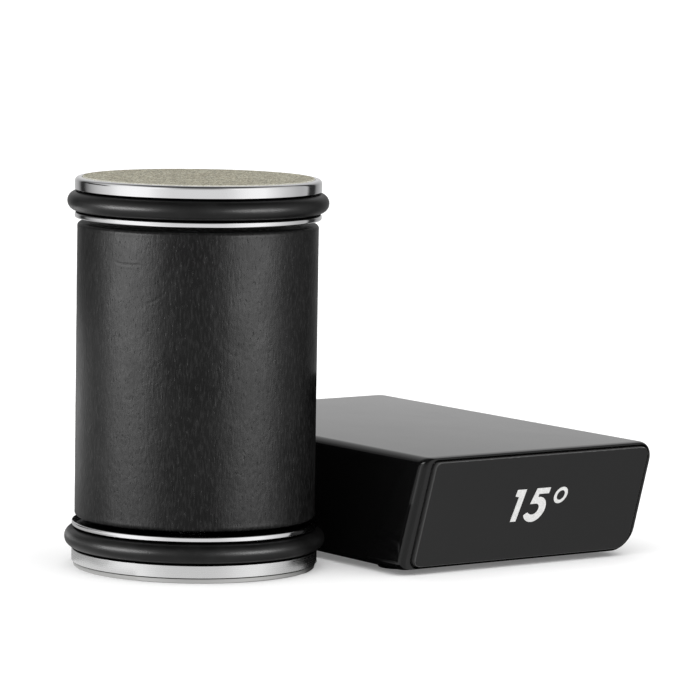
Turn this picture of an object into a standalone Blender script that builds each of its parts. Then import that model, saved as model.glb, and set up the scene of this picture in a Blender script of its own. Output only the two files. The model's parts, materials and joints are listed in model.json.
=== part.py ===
# Rolling knife sharpener: a roller that stands on one end, and a magnetic angle block beside it.
# Metres, +Z up. The origin is on the roller's axis, on the surface that both stand on.
# +Y runs along the angle block, away from its numbered end, and +X points from the roller to the block.

import math

import bmesh
import bpy
import mathutils

# Fits shared by both halves of the set
seat_gap = 0.0003
press_gap = 0.00015
cut_overrun = 0.002

# Wheels: a band, a round groove for the rubber ring, and a thin inner flange
wheel_radius = 0.0290
band_width = 0.0029
flange_width = 0.0012
rim_round = 0.0014
boss_radius = 0.0056
ring_section = 0.0049
ring_stand_out = 0.00175
groove_gap = 0.00025

# Discs that the wheels carry
grit_rim_width = 0.0018
grit_disc_thickness = 0.0015
grit_stand_out = 0.0002
honing_set_back = 0.0002
honing_plate_thickness = 0.00105
honing_edge = 0.0003
honing_spigot_radius = 0.0200
disc_seam = 0.00025
disc_side_gap = 0.00015

# Disc magnets in each wheel
disc_magnet_radius = 0.0040
disc_magnet_thickness = 0.0030
disc_magnet_circle = 0.0130
disc_magnet_count = 3
magnet_gap = 0.0002

# Barrel and its running gap to the wheels
barrel_set_back = 0.0006
barrel_length = 0.0693
barrel_edge_round = 0.0009
barrel_bore_radius = 0.0080
running_gap = 0.0011

# Ball bearings, 22 mm outside, 8 mm bore and 7 mm wide
bearing_radius = 0.0110
bearing_bore_radius = 0.0040
bearing_width = 0.0070
ball_radius = 0.00198
ball_circle = 0.0075
ball_count = 7
race_gap = 0.00015
race_shoulder = 0.0016
cage_half_wall = 0.0009
cage_height = 0.0052
pocket_gap = 0.00017

# Axle, spacer and the screws in its ends
socket_floor = 0.0036
spacer_wall = 0.0013
spacer_gap = 0.0002
screw_radius = 0.0025
screw_head_radius = 0.0046
screw_head_gap = 0.0004
screw_grip = 0.0100
screw_tip_room = 0.0020
screw_side_gap = 0.00025
drive_radius = 0.0016
drive_depth = 0.0014

# Angle block: its case and the place of its sharp lower corner beside the roller
block_length = 0.1100
block_width = 0.0700
block_height = 0.0262
lean = math.radians(15.0)
block_stand_off = 0.0025
block_front = -0.0390
foot_height = 0.0012
upper_corner = 0.0035
lower_left_corner = 0.0035
lower_right_corner = 0.0070
end_round_side = 0.0018
end_round_level = 0.0004
end_round_depth = 0.0016

# End plates, inset in the case and standing a little proud of its ends
plate_thickness = 0.0032
plate_stand_out = 0.0008
plate_gap = 0.0004
plate_inset_side = 0.0027
plate_inset_level = 0.0009
plate_corner = 0.0017
plate_big_corner = 0.0050
plate_edge = 0.0004

# Magnets and keeper bars behind the leaning sides
skin_wall = 0.0016
floor_wall = 0.0030
cavity_corner = 0.0020
block_magnet_height = 0.0100
block_magnet_thickness = 0.0030
block_magnet_spacing = 0.0080
block_magnet_count = 3
keeper_thickness = 0.0012
keeper_height = 0.0120
keeper_end = 0.0030
keeper_end_room = 0.0053

# Rubber feet in round recesses under the case
foot_radius = 0.0050
foot_recess = 0.0006
foot_edge = 0.0003
foot_side_inset = 0.0095
foot_end_inset = 0.0130

# Facets
wheel_steps = 44
bearing_steps = 24
small_steps = 18
corner_segments = 4
end_round_segments = 3
groove_segments = 6
rim_segments = 3
ring_sides = 10
edge_segments = 3
race_segments = 4
pocket_sides = 12
ball_subdivisions = 2
merge_distance = 0.00001
sharp_angle = math.radians(30)

# Worked out from the sizes above
groove_width = ring_section + 2 * groove_gap
groove_middle = band_width + groove_width / 2
wheel_width = band_width + groove_width + flange_width
ring_circle = wheel_radius + ring_stand_out - ring_section / 2
grit_disc_radius = wheel_radius - grit_rim_width
honing_plate_radius = wheel_radius - honing_set_back
barrel_radius = wheel_radius - barrel_set_back
block_clearance = wheel_radius + block_stand_off
lower_face = honing_plate_thickness + disc_seam
barrel_bottom = lower_face + wheel_width + running_gap
barrel_top = barrel_bottom + barrel_length
upper_face = barrel_top + running_gap + wheel_width
disc_recess = grit_disc_thickness - grit_stand_out + seat_gap
socket_start = disc_recess + socket_floor
bearing_start = wheel_width + running_gap + seat_gap
bearing_middle = bearing_start + bearing_width / 2
bearing_depth = seat_gap + bearing_width + seat_gap
axle_radius = bearing_bore_radius - press_gap
screw_hole_radius = screw_radius + screw_side_gap
axle_end = socket_start + seat_gap
race_radius = ball_radius + race_gap
lean_slope = math.tan(lean)
side_wall = skin_wall + block_magnet_thickness + seat_gap + keeper_thickness + seat_gap
middle_height = foot_height + block_height / 2
plate_depth = plate_thickness - plate_stand_out
keeper_length = block_length - 2 * (plate_depth + seat_gap + keeper_end_room)
magnet_row = keeper_length - 2 * keeper_end
block_magnet_length = (magnet_row + block_magnet_spacing) / block_magnet_count - block_magnet_spacing
block_magnet_pitch = block_magnet_length + block_magnet_spacing


def clear_scene():
    for obj in list(bpy.data.objects):
        bpy.data.objects.remove(obj, do_unlink=True)


def new_collection(name):
    collection = bpy.data.collections.new(name)
    bpy.context.scene.collection.children.link(collection)
    return collection


def new_material(name, colour, roughness, metallic):
    material = bpy.data.materials.new(name)
    material.use_nodes = True
    shader = material.node_tree.nodes["Principled BSDF"]
    shader.inputs["Base Color"].default_value = (*colour, 1.0)
    shader.inputs["Roughness"].default_value = roughness
    shader.inputs["Metallic"].default_value = metallic
    return material


def new_empty(name, location=(0, 0, 0), rotation=(0, 0, 0), parent=None):
    empty = bpy.data.objects.new(name, None)
    empty.location = location
    empty.rotation_euler = rotation
    empty.parent = parent
    parts.objects.link(empty)
    return empty


def new_object(name, mesh, material, parent, location=(0, 0, 0)):
    obj = bpy.data.objects.new(name, mesh)
    obj.location = location
    obj.parent = parent
    if material is None:
        obj.hide_render = True
        obj.display_type = "WIRE"
        cutters.objects.link(obj)
    else:
        obj.color = material.diffuse_color
        obj.data.materials.append(material)
        parts.objects.link(obj)
    return obj


def mesh_from(bm, name):
    bmesh.ops.recalc_face_normals(bm, faces=bm.faces)
    mesh = bpy.data.meshes.new(name)
    bm.to_mesh(mesh)
    bm.free()
    return mesh


# Points of an arc in a profile's plane, both ends included
def arc(centre_r, centre_z, radius, start, end, segments):
    points = []
    for i in range(segments + 1):
        angle = math.radians(start + (end - start) * i / segments)
        points.append((centre_r + radius * math.cos(angle), centre_z + radius * math.sin(angle)))
    return points


# A turned shape: the profile runs down its outer side, and closes on itself where it has a bore
def turned(name, profile, steps, material, parent, location=(0, 0, 0)):
    mesh = bpy.data.meshes.new(name)
    count = len(profile)
    edges = [(i, i + 1) for i in range(count - 1)]
    if profile[0][0] > 0:
        edges.append((count - 1, 0))
    mesh.from_pydata([(r, 0, z) for r, z in profile], edges, [])
    obj = new_object(name, mesh, material, parent, location)
    screw = obj.modifiers.new("turn", "SCREW")
    screw.steps = steps
    screw.render_steps = steps
    screw.use_merge_vertices = True
    screw.merge_threshold = merge_distance
    screw.use_normal_calculate = False
    return obj


# Cylinders set evenly on a circle about Z, standing on z = low
def ring_of_cylinders(name, radius, low, height, circle, count):
    bm = bmesh.new()
    for i in range(count):
        angle = 2 * math.pi * i / count
        made = bmesh.ops.create_cone(
            bm, cap_ends=True, segments=small_steps, radius1=radius, radius2=radius, depth=height
        )
        offset = (circle * math.cos(angle), circle * math.sin(angle), low + height / 2)
        bmesh.ops.translate(bm, verts=made["verts"], vec=offset)
    return mesh_from(bm, name)


def box_mesh(name, size, centres=((0, 0, 0),)):
    bm = bmesh.new()
    for centre in centres:
        made = bmesh.ops.create_cube(bm, size=1.0)
        bmesh.ops.scale(bm, verts=made["verts"], vec=size)
        bmesh.ops.translate(bm, verts=made["verts"], vec=centre)
    return mesh_from(bm, name)


def cut(obj, cutter):
    boolean = obj.modifiers.new(cutter.name, "BOOLEAN")
    boolean.operation = "DIFFERENCE"
    boolean.solver = "EXACT"
    boolean.object = cutter


# The wheel's section, with z = 0 on its outer face and +z towards the barrel
def wheel_profile(rim):
    boss_top = wheel_width + running_gap
    head_seat = screw_head_radius + screw_head_gap
    socket_radius = axle_radius + press_gap
    profile = [
        (socket_radius, boss_top),
        (boss_radius, boss_top),
        (boss_radius, wheel_width),
        (wheel_radius, wheel_width),
        (wheel_radius, wheel_width - flange_width),
    ]
    profile += arc(ring_circle, groove_middle, groove_width / 2, 90, 270, groove_segments)
    profile.append((wheel_radius, band_width))
    profile += rim
    profile += [
        (head_seat, disc_recess),
        (screw_hole_radius, disc_recess + head_seat - screw_hole_radius),
        (screw_hole_radius, socket_start),
        (socket_radius, socket_start),
    ]
    return profile


# What the two ends of the roller share: wheel, rubber ring, screw, magnets and the bearing's parts
def build_end(side, end, rim):
    wheel = turned(side + "_wheel", wheel_profile(rim), wheel_steps, steel, end)
    pockets = ring_of_cylinders(
        side + "_magnet_pockets",
        disc_magnet_radius + magnet_gap,
        disc_recess - cut_overrun,
        cut_overrun + disc_magnet_thickness + seat_gap,
        disc_magnet_circle,
        disc_magnet_count,
    )
    cut(wheel, new_object(side + "_magnet_pockets", pockets, None, end))

    section = arc(0, 0, ring_section / 2, 90, -270, ring_sides)[:-1]
    section = [(ring_circle + r, groove_middle + z) for r, z in section]
    turned(side + "_rubber_ring", section, wheel_steps, rubber, end)

    shank_end = axle_end + screw_grip
    screw_profile = [
        (0, shank_end),
        (screw_radius, shank_end),
        (screw_radius, disc_recess + screw_head_radius - screw_radius),
        (screw_head_radius, disc_recess),
        (drive_radius, disc_recess),
        (drive_radius, disc_recess + drive_depth),
        (0, disc_recess + drive_depth),
    ]
    turned(side + "_axle_screw", screw_profile, small_steps, dark_steel, end)

    magnet = ring_of_cylinders(
        "disc_magnet", disc_magnet_radius, 0, disc_magnet_thickness, 0, 1
    )
    for i in range(disc_magnet_count):
        angle = 2 * math.pi * i / disc_magnet_count
        place = (disc_magnet_circle * math.cos(angle), disc_magnet_circle * math.sin(angle), disc_recess)
        new_object(f"{side}_disc_magnet_{i + 1}", magnet, magnet_metal, end, place)


# A bearing, centred on z = 0 of its own empties: the inner ring turns with the axle, the cage at its own rate
def build_bearing(side, end, barrel_end):
    half = bearing_width / 2
    reach = math.degrees(math.acos(race_shoulder / race_radius))
    middle = (0, 0, bearing_middle)

    outer_race = arc(ball_circle, 0, race_radius, -reach, reach, race_segments)
    outer_profile = [
        (ball_circle + race_shoulder, half),
        (bearing_radius, half),
        (bearing_radius, -half),
        (ball_circle + race_shoulder, -half),
    ] + outer_race
    turned(side + "_bearing_outer_ring", outer_profile, bearing_steps, dark_steel, barrel_end, middle)

    inner_race = arc(ball_circle, 0, race_radius, 180 - reach, 180 + reach, race_segments)
    inner_profile = [(bearing_bore_radius, half), (ball_circle - race_shoulder, half)]
    inner_profile += inner_race
    inner_profile += [(ball_circle - race_shoulder, -half), (bearing_bore_radius, -half)]
    turned(side + "_bearing_inner_ring", inner_profile, bearing_steps, dark_steel, end, middle)

    cage_turn = new_empty(side + "_cage_turn", middle, parent=barrel_end)
    cage_top = cage_height / 2
    cage_profile = [
        (ball_circle - cage_half_wall, cage_top),
        (ball_circle + cage_half_wall, cage_top),
        (ball_circle + cage_half_wall, -cage_top),
        (ball_circle - cage_half_wall, -cage_top),
    ]
    cage = turned(side + "_bearing_cage", cage_profile, bearing_steps, cage_brass, cage_turn)
    cut(cage, new_object(side + "_ball_pockets", ball_pockets(side), None, cage_turn))

    bm = bmesh.new()
    bmesh.ops.create_icosphere(bm, subdivisions=ball_subdivisions, radius=ball_radius)
    ball = mesh_from(bm, "bearing_ball")
    for i in range(ball_count):
        angle = 2 * math.pi * i / ball_count
        place = (ball_circle * math.cos(angle), ball_circle * math.sin(angle), 0)
        new_object(f"{side}_ball_{i + 1}", ball, steel, cage_turn, place)


# Short radial cylinders that open the cage round each ball
def ball_pockets(side):
    bm = bmesh.new()
    pocket_radius = ball_radius + pocket_gap
    depth = 2 * cage_half_wall + ball_radius
    for i in range(ball_count):
        made = bmesh.ops.create_cone(
            bm,
            cap_ends=True,
            segments=pocket_sides,
            radius1=pocket_radius,
            radius2=pocket_radius,
            depth=depth,
        )
        turn = mathutils.Matrix.Rotation(2 * math.pi * i / ball_count, 4, "Z")
        lay = mathutils.Matrix.Rotation(math.pi / 2, 4, "Y")
        out = mathutils.Matrix.Translation((ball_circle, 0, 0))
        bmesh.ops.transform(bm, matrix=turn @ out @ lay, verts=made["verts"])
    return mesh_from(bm, side + "_ball_pockets")


def build_barrel(parent):
    seat_radius = bearing_radius + press_gap
    edge = barrel_radius - barrel_edge_round
    profile = [(seat_radius, barrel_top)]
    profile += arc(edge, barrel_top - barrel_edge_round, barrel_edge_round, 90, 0, edge_segments)
    profile += arc(edge, barrel_bottom + barrel_edge_round, barrel_edge_round, 0, -90, edge_segments)
    profile += [
        (seat_radius, barrel_bottom),
        (seat_radius, barrel_bottom + bearing_depth),
        (barrel_bore_radius, barrel_bottom + bearing_depth),
        (barrel_bore_radius, barrel_top - bearing_depth),
        (seat_radius, barrel_top - bearing_depth),
    ]
    turned("barrel", profile, wheel_steps, painted_wood, parent)


def build_axle(parent):
    low = lower_face + axle_end
    high = upper_face - axle_end
    hole = screw_grip + screw_tip_room
    profile = [
        (0, high - hole),
        (screw_hole_radius, high - hole),
        (screw_hole_radius, high),
        (axle_radius, high),
        (axle_radius, low),
        (screw_hole_radius, low),
        (screw_hole_radius, low + hole),
        (0, low + hole),
    ]
    turned("axle", profile, small_steps, dark_steel, parent)

    spacer_low = lower_face + bearing_start + bearing_width + seat_gap
    spacer_high = upper_face - bearing_start - bearing_width - seat_gap
    spacer_bore = bearing_bore_radius + spacer_gap
    profile = [
        (spacer_bore, spacer_high),
        (spacer_bore + spacer_wall, spacer_high),
        (spacer_bore + spacer_wall, spacer_low),
        (spacer_bore, spacer_low),
    ]
    turned("spacer_tube", profile, small_steps, dark_steel, parent)


# The grit disc lies in the upper wheel's recess, just proud of its rim
def build_grit_disc(end):
    low = grit_disc_thickness - grit_stand_out
    profile = [
        (0, low),
        (grit_disc_radius, low),
        (grit_disc_radius, -grit_stand_out),
        (0, -grit_stand_out),
    ]
    turned("diamond_disc", profile, wheel_steps, grit, end)


# The honing disc is a plate over the lower wheel's face, centred by a spigot in its recess
def build_honing_disc(end):
    top = -disc_seam
    bottom = -disc_seam - honing_plate_thickness
    profile = [
        (0, disc_recess - seat_gap),
        (honing_spigot_radius, disc_recess - seat_gap),
        (honing_spigot_radius, top),
        (honing_plate_radius, top),
        (honing_plate_radius, bottom + honing_edge),
        (honing_plate_radius - honing_edge, bottom),
        (0, bottom),
    ]
    turned("honing_disc", profile, wheel_steps, honing_steel, end)


def build_roller():
    barrel_axis = new_empty("barrel_axis")
    spin_axis = new_empty("spin_axis", parent=barrel_axis)
    over = (math.pi, 0, 0)
    lower_end = new_empty("lower_end", (0, 0, lower_face), parent=spin_axis)
    upper_end = new_empty("upper_end", (0, 0, upper_face), over, spin_axis)
    lower_barrel_end = new_empty("lower_barrel_end", (0, 0, lower_face), parent=barrel_axis)
    upper_barrel_end = new_empty("upper_barrel_end", (0, 0, upper_face), over, barrel_axis)

    build_barrel(barrel_axis)
    build_axle(spin_axis)
    spigot_room = honing_spigot_radius + disc_side_gap
    lower_rim = [(wheel_radius, 0), (spigot_room, 0), (spigot_room, disc_recess)]
    grit_room = grit_disc_radius + disc_side_gap
    upper_rim = arc(wheel_radius - rim_round, rim_round, rim_round, 0, -90, rim_segments)
    upper_rim += [(grit_room, 0), (grit_room, disc_recess)]
    build_end("lower", lower_end, lower_rim)
    build_end("upper", upper_end, upper_rim)
    build_bearing("lower", lower_end, lower_barrel_end)
    build_bearing("upper", upper_end, upper_barrel_end)
    build_grit_disc(upper_end)
    build_honing_disc(lower_end)


# The block's end outline, drawn in from its sides and from its top and bottom, with a radius for each corner
# in the order lower left, lower right, upper right, upper left. Points are (x, z) from the sharp lower corner.
def block_outline(side_inset, level_inset, radii):
    low = level_inset
    high = block_height - level_inset
    left, right = side_inset, block_width - side_inset
    corners = [
        (left + low * lean_slope, low),
        (right + low * lean_slope, low),
        (right + high * lean_slope, high),
        (left + high * lean_slope, high),
    ]
    points = []
    for i, (x, z) in enumerate(corners):
        before = mathutils.Vector(corners[i - 1]) - mathutils.Vector((x, z))
        after = mathutils.Vector(corners[(i + 1) % 4]) - mathutils.Vector((x, z))
        before.normalize()
        after.normalize()
        half = before.angle(after) / 2
        centre = mathutils.Vector((x, z)) + (before + after).normalized() * radii[i] / math.sin(half)
        start = mathutils.Vector((x, z)) + before * radii[i] / math.tan(half) - centre
        first = math.atan2(start.y, start.x)
        sweep = math.pi - 2 * half
        for k in range(corner_segments + 1):
            angle = first + sweep * k / corner_segments
            points.append((centre.x + radii[i] * math.cos(angle), centre.y + radii[i] * math.sin(angle)))
    return points


# A solid through block outlines of equal point counts, one for each place along the block
def lofted(name, sections):
    bm = bmesh.new()
    loops = []
    for y, points in sections:
        ring = [bm.verts.new((x, y, foot_height + z)) for x, z in points]
        edges = [bm.edges.new((ring[i], ring[(i + 1) % len(ring)])) for i in range(len(ring))]
        loops.append((ring, edges))
    for (_, near), (_, far) in zip(loops, loops[1:]):
        bmesh.ops.bridge_loops(bm, edges=near + far)
    bm.faces.new(loops[0][0])
    bm.faces.new(loops[-1][0])
    return mesh_from(bm, name)


def case_sections():
    sharp = (lower_left_corner, lower_right_corner, upper_corner, upper_corner)
    near = []
    for k in range(end_round_segments + 1):
        angle = math.pi / 2 * k / end_round_segments
        side = end_round_side * (1 - math.sin(angle))
        level = end_round_level * (1 - math.sin(angle))
        near.append((end_round_depth * (1 - math.cos(angle)), block_outline(side, level, sharp)))
    far = [(block_length - y, points) for y, points in reversed(near)]
    return near + far


def plate_outline(grow):
    small = plate_corner + grow
    radii = (small, plate_big_corner + grow, small, small)
    return block_outline(plate_inset_side - grow, plate_inset_level - grow, radii)


def build_plate(name, start, parent):
    plate = plate_outline(0)
    mesh = lofted(name, [(start, plate), (start + plate_thickness, plate)])
    obj = new_object(name, mesh, plate_black, parent)
    bevel = obj.modifiers.new("edge", "BEVEL")
    bevel.width = plate_edge
    bevel.segments = 1
    bevel.limit_method = "ANGLE"
    bevel.angle_limit = sharp_angle


# Three magnets and their keeper bar behind one leaning side, in pockets opened from inside the case.
# The empty lies on the outer face, and inward is its own +X or -X.
def build_side(side, case, foot_x, inward, parent):
    face = new_empty(
        side + "_face",
        (foot_x + block_height / 2 * lean_slope, block_length / 2, middle_height),
        (0, lean, 0),
        parent,
    )
    pocket_depth = block_magnet_thickness + seat_gap
    slot_depth = keeper_thickness + seat_gap + cut_overrun
    places = [(i - (block_magnet_count - 1) / 2) * block_magnet_pitch for i in range(block_magnet_count)]

    pocket_size = (
        pocket_depth + seat_gap,
        block_magnet_length + 2 * seat_gap,
        block_magnet_height + 2 * seat_gap,
    )
    pocket_x = inward * (skin_wall + pocket_size[0] / 2)
    pocket_mesh = box_mesh(side + "_pockets", pocket_size, [(pocket_x, y, 0) for y in places])
    cut(case, new_object(side + "_pockets", pocket_mesh, None, face))
    slot_size = (slot_depth, keeper_length + 2 * seat_gap, keeper_height + 2 * seat_gap)
    slot_x = inward * (skin_wall + pocket_depth + slot_depth / 2)
    slot_mesh = box_mesh(side + "_slot", slot_size, [(slot_x, 0, 0)])
    cut(case, new_object(side + "_slot", slot_mesh, None, face))

    magnet_size = (block_magnet_thickness, block_magnet_length, block_magnet_height)
    magnet_mesh = box_mesh("block_magnet", magnet_size)
    magnet_x = inward * (skin_wall + seat_gap + block_magnet_thickness / 2)
    for i, y in enumerate(places):
        new_object(f"{side}_block_magnet_{i + 1}", magnet_mesh, magnet_metal, face, (magnet_x, y, 0))
    keeper_mesh = box_mesh(side + "_keeper_bar", (keeper_thickness, keeper_length, keeper_height))
    keeper_x = inward * (skin_wall + seat_gap + block_magnet_thickness + seat_gap + keeper_thickness / 2)
    new_object(side + "_keeper_bar", keeper_mesh, dark_steel, face, (keeper_x, 0, 0))


def build_feet(case, parent):
    right_corner_room = lower_right_corner - lower_left_corner
    columns = (foot_side_inset, block_width - foot_side_inset - right_corner_room)
    rows = (foot_end_inset, block_length - foot_end_inset)
    foot_top = foot_height + foot_recess - seat_gap
    profile = [
        (0, foot_top),
        (foot_radius, foot_top),
        (foot_radius, foot_edge),
        (foot_radius - foot_edge, 0),
        (0, 0),
    ]
    names = (("near_left", "far_left"), ("near_right", "far_right"))
    bm = bmesh.new()
    for x, column in zip(columns, names):
        for y, name in zip(rows, column):
            turned(name + "_foot", profile, small_steps, rubber, parent, (x, y, 0))
            made = bmesh.ops.create_cone(
                bm,
                cap_ends=True,
                segments=small_steps,
                radius1=foot_radius + seat_gap,
                radius2=foot_radius + seat_gap,
                depth=2 * foot_recess,
            )
            bmesh.ops.translate(bm, verts=made["verts"], vec=(x, y, foot_height))
    cut(case, new_object("foot_recesses", mesh_from(bm, "foot_recesses"), None, parent))


def build_block():
    block = new_empty("block_corner", (block_clearance, block_front, 0))
    case = new_object("block_case", lofted("block_case", case_sections()), block_black, block)
    side_inset = side_wall / math.cos(lean)
    inside = block_outline(side_inset, floor_wall, (cavity_corner,) * 4)
    cavity = lofted("case_cavity", [(-cut_overrun, inside), (block_length + cut_overrun, inside)])
    cut(case, new_object("case_cavity", cavity, None, block))
    room = plate_outline(plate_gap)
    depth = plate_depth + seat_gap
    near = lofted("front_rebate", [(-cut_overrun, room), (depth, room)])
    far = lofted("rear_rebate", [(block_length - depth, room), (block_length + cut_overrun, room)])
    cut(case, new_object("front_rebate", near, None, block))
    cut(case, new_object("rear_rebate", far, None, block))
    build_side("left", case, 0, 1, block)
    build_side("right", case, block_width, -1, block)
    build_feet(case, block)
    build_plate("front_plate", -plate_stand_out, block)
    build_plate("rear_plate", block_length - plate_depth, block)


# Keeps each shape as the mesh its modifiers make, smooth on its round surfaces and sharp at its edges
def shade_parts():
    bpy.context.view_layer.update()
    graph = bpy.context.evaluated_depsgraph_get()
    made = {}
    for obj in parts.objects:
        if obj.type == "MESH" and obj.modifiers:
            made[obj] = bpy.data.meshes.new_from_object(obj.evaluated_get(graph))
    for obj, mesh in made.items():
        obj.modifiers.clear()
        obj.data = mesh
    for obj in parts.objects:
        if obj.type == "MESH":
            obj.data.shade_smooth()
            obj.data.set_sharp_from_angle(angle=sharp_angle)


clear_scene()
parts = new_collection("rolling_knife_sharpener")
cutters = new_collection("cutters")
cutters.hide_render = True
painted_wood = new_material("painted_wood", (0.020, 0.020, 0.020), 0.45, 0.0)
steel = new_material("bright_steel", (0.78, 0.78, 0.78), 0.15, 1.0)
honing_steel = new_material("honing_steel", (0.66, 0.66, 0.65), 0.30, 1.0)
dark_steel = new_material("dark_steel", (0.40, 0.40, 0.41), 0.35, 1.0)
cage_brass = new_material("cage_brass", (0.60, 0.48, 0.22), 0.40, 1.0)
magnet_metal = new_material("magnet_metal", (0.62, 0.62, 0.63), 0.25, 1.0)
rubber = new_material("rubber", (0.025, 0.025, 0.025), 0.60, 0.0)
grit = new_material("diamond_grit", (0.36, 0.35, 0.27), 0.80, 0.0)
block_black = new_material("block_black", (0.012, 0.012, 0.012), 0.40, 0.0)
plate_black = new_material("plate_black", (0.030, 0.030, 0.030), 0.50, 0.0)
build_roller()
build_block()
shade_parts()
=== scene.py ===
# Looks of the rolling knife sharpener: a roller standing on its honing disc, and the angle block beside it.
# Metres, in the frame's own axes. Each piece has its settings in one dictionary beside its code.

import json
import math

import bmesh
import bpy
from mathutils import Matrix, Vector, noise


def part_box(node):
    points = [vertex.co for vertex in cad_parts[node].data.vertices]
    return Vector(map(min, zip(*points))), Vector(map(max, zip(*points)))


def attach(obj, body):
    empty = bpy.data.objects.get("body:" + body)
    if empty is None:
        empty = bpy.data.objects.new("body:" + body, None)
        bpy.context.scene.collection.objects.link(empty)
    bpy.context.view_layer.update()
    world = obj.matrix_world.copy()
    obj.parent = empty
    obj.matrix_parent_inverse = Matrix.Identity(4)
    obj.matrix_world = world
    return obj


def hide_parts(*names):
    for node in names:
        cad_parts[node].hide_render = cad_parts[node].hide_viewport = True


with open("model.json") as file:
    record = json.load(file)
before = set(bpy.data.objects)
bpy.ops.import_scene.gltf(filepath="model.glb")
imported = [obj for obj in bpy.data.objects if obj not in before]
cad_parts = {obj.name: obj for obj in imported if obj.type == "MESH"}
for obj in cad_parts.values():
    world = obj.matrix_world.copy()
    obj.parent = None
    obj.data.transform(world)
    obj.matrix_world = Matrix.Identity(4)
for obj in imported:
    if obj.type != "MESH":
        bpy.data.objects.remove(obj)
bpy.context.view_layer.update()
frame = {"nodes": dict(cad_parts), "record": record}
scene = bpy.context.scene
mm = 0.001


# Materials: every pattern is made of nodes on Object coordinates

noiseMiddle = (0.3, 0.7)  # most of a noise's values lie between these


# Sockets are given by name, or by number as at0 and at1; each gets a value or another node's output
def addNode(tree, kind, settings=None, **sockets):
    made = tree.nodes.new("ShaderNode" + kind)
    for key, value in (settings or {}).items():
        setattr(made, key, value)
    for key, value in sockets.items():
        socket = made.inputs[int(key[2:])] if key.startswith("at") else made.inputs[key]
        if isinstance(value, bpy.types.NodeSocket):
            tree.links.new(value, socket)
        else:
            socket.default_value = value
    return made


def newMaterial(name, colour, roughness=0.5, metallic=0.0, specular=0.5):
    material = bpy.data.materials.new(name)
    material.use_nodes = True
    shader = material.node_tree.nodes["Principled BSDF"]
    shader.inputs["Base Color"].default_value = (*colour, 1.0)
    shader.inputs["Roughness"].default_value = roughness
    shader.inputs["Metallic"].default_value = metallic
    shader.inputs["Specular IOR Level"].default_value = specular
    return material, material.node_tree, shader


# Size is the pattern's period in metres, the same all ways or along X, Y and Z
def objectPoint(tree, size):
    place = addNode(tree, "TexCoord").outputs["Object"]
    sizes = size if isinstance(size, tuple) else (size,) * 3
    scale = tuple(1.0 / s for s in sizes)
    return addNode(tree, "Mapping", Vector=place, Scale=scale).outputs["Vector"]


def noiseAt(tree, point, detail=2.0, rough=0.5, twist=0.0):
    character = {"Detail": detail, "Roughness": rough, "Distortion": twist}
    return addNode(tree, "TexNoise", Vector=point, Scale=1.0, **character).outputs["Fac"]


def noiseValue(tree, size, **character):
    return noiseAt(tree, objectPoint(tree, size), **character)


# Maps the values of a span onto those of the result
def remap(tree, value, span, result=(0.0, 1.0)):
    mapped = addNode(tree, "MapRange", Value=value)
    for key, number in zip(("From Min", "From Max", "To Min", "To Max"), (*span, *result)):
        mapped.inputs[key].default_value = number
    return mapped.outputs["Result"]


def compute(tree, operation, first, second=0.0):
    return addNode(tree, "Math", {"operation": operation}, at0=first, at1=second).outputs[0]


def blendColour(tree, factor, first, second):
    mixed = addNode(tree, "Mix", {"data_type": "RGBA"}, at0=factor)
    for index, colour in ((6, first), (7, second)):  # the colour sockets of a Mix node
        if isinstance(colour, bpy.types.NodeSocket):
            tree.links.new(colour, mixed.inputs[index])
        else:
            mixed.inputs[index].default_value = (*colour, 1.0)
    return mixed.outputs[2]


# A shader's id_data is the node tree that it stands in
def link(shader, name, value):
    shader.id_data.links.new(value, shader.inputs[name])


# A bump over another one takes that one's output as its Normal
def bumped(shader, height, depth, **below):
    bump = addNode(shader.id_data, "Bump", Height=height, Distance=depth, **below).outputs["Normal"]
    link(shader, "Normal", bump)
    return bump


# The base colour goes from the first colour to the second over a span of the pattern's values
def tint(shader, pattern, span, first, second):
    tree = shader.id_data
    link(shader, "Base Color", blendColour(tree, remap(tree, pattern, span), first, second))


def roughen(shader, pattern, roughness, span=noiseMiddle):
    link(shader, "Roughness", remap(shader.id_data, pattern, span, roughness))


woodFinish = {
    "colour": (0.0008, 0.0008, 0.0008),
    "dust": (0.0020, 0.0020, 0.0020),
    "fleckColour": (0.0068, 0.0068, 0.0068),
    "roughness": (0.37, 0.44),
    "specular": 0.14,
    "wrinkle": (0.48 * mm, 0.48 * mm, 2.4 * mm),
    "wrinkleDepth": 0.032 * mm,
    "pebble": (0.95 * mm, 0.95 * mm, 1.5 * mm),
    "pebbleDepth": 0.038 * mm,
    "pit": (0.42 * mm, 0.42 * mm, 1.30 * mm),
    "pitSpan": (0.66, 0.76),
    "pitDepth": 0.028 * mm,
    "patch": (7 * mm, 7 * mm, 12 * mm),
    "dustSpan": (0.35, 0.75),
    "fleck": (0.42 * mm, 0.42 * mm, 1.9 * mm),
    "fleckSpan": (0.48, 0.68),
}


def makePaintedWood():
    its = woodFinish
    material, tree, shader = newMaterial("paintedWood", its["colour"], specular=its["specular"])
    wrinkle = noiseValue(tree, its["wrinkle"], detail=1.5, rough=0.45, twist=0.7)
    pebble = noiseValue(tree, its["pebble"], detail=1.5, rough=0.40, twist=0.5)
    pit = remap(tree, noiseValue(tree, its["pit"], detail=1.0, rough=0.4), its["pitSpan"])
    patch = noiseValue(tree, its["patch"])
    paint = blendColour(tree, remap(tree, patch, its["dustSpan"]), its["colour"], its["dust"])
    fleck = noiseValue(tree, its["fleck"], rough=0.6)
    tint(shader, fleck, its["fleckSpan"], paint, its["fleckColour"])
    roughen(shader, patch, its["roughness"])
    wrinkled = bumped(shader, wrinkle, its["wrinkleDepth"])
    pebbled = bumped(shader, pebble, its["pebbleDepth"], Normal=wrinkled)
    bumped(shader, compute(tree, "MULTIPLY", pit, -1.0), its["pitDepth"], Normal=pebbled)
    return material


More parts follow.
